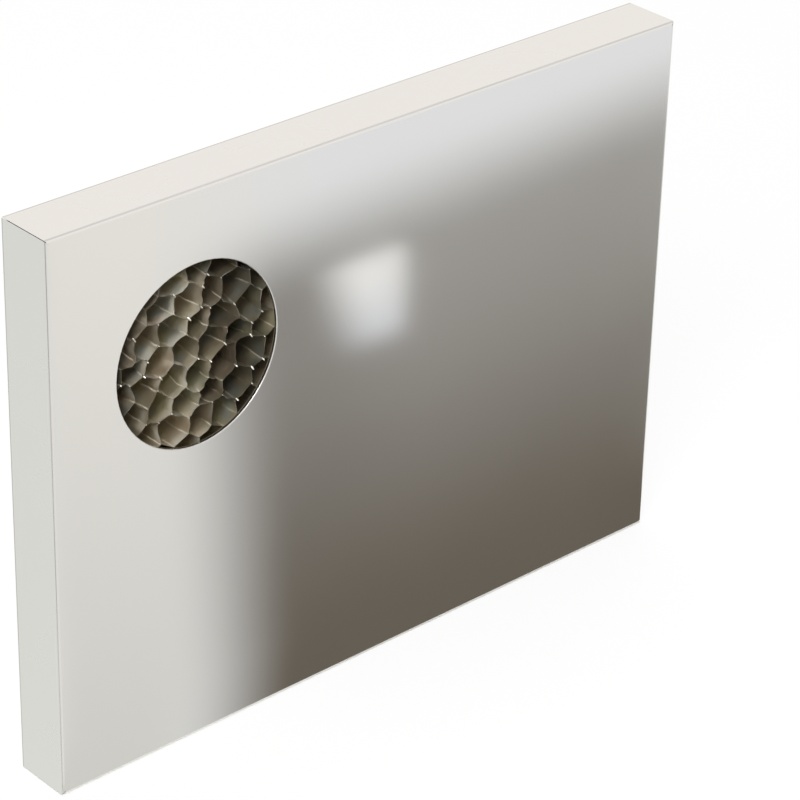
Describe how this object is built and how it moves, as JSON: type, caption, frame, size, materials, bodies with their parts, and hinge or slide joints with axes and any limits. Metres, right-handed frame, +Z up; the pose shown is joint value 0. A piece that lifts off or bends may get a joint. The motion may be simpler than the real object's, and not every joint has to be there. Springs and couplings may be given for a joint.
{
  "type": "aluminium honeycomb panel",
  "caption": "Flat rectangular sandwich panel: folded sheet tray with a round window that shows a bonded foil honeycomb core, closed by a back sheet.",
  "frame": {"origin": "under the middle of the panel, on its bottom edge", "axes": "+X along the width to the right seen from the face, +Y through the thickness from the face to the back, +Z up"},
  "size_m": [0.25, 0.02, 0.187],
  "materials": {
    "face_sheet": "satin",
    "adhesive": "cured film",
    "core_foil": "bright foil",
    "back_sheet": "mill finish"
  },
  "bodies": {
    "root": {"face_tray": "face_sheet", "front_adhesive": "adhesive", "core_ribbon_01": "core_foil", "core_ribbon_02": "core_foil", "core_ribbon_03": "core_foil", "core_ribbon_04": "core_foil", "core_ribbon_05": "core_foil", "core_ribbon_06": "core_foil", "core_ribbon_07": "core_foil", "core_ribbon_08": "core_foil", "core_ribbon_09": "core_foil", "core_ribbon_10": "core_foil", "core_ribbon_11": "core_foil", "core_ribbon_12": "core_foil", "core_ribbon_13": "core_foil", "core_ribbon_14": "core_foil", "core_ribbon_15": "core_foil", "core_ribbon_16": "core_foil", "core_ribbon_17": "core_foil", "core_ribbon_18": "core_foil", "core_ribbon_19": "core_foil", "core_ribbon_20": "core_foil", "core_ribbon_21": "core_foil", "core_ribbon_22": "core_foil", "core_ribbon_23": "core_foil", "core_ribbon_24": "core_foil", "core_ribbon_25": "core_foil", "core_ribbon_26": "core_foil", "core_ribbon_27": "core_foil", "core_ribbon_28": "core_foil", "core_ribbon_29": "core_foil", "core_ribbon_30": "core_foil", "core_ribbon_31": "core_foil", "core_ribbon_32": "core_foil", "core_ribbon_33": "core_foil", "core_ribbon_34": "core_foil", "core_ribbon_35": "core_foil", "core_ribbon_36": "core_foil", "core_ribbon_37": "core_foil", "core_ribbon_38": "core_foil", "core_ribbon_39": "core_foil", "core_ribbon_40": "core_foil", "core_ribbon_41": "core_foil", "core_ribbon_42": "core_foil", "core_ribbon_43": "core_foil", "core_ribbon_44": "core_foil", "core_ribbon_45": "core_foil", "core_ribbon_46": "core_foil", "core_ribbon_47": "core_foil", "core_ribbon_48": "core_foil", "core_ribbon_49": "core_foil", "core_ribbon_50": "core_foil", "core_ribbon_51": "core_foil", "back_adhesive": "adhesive", "back_sheet": "back_sheet"}
  },
  "joints": []
}
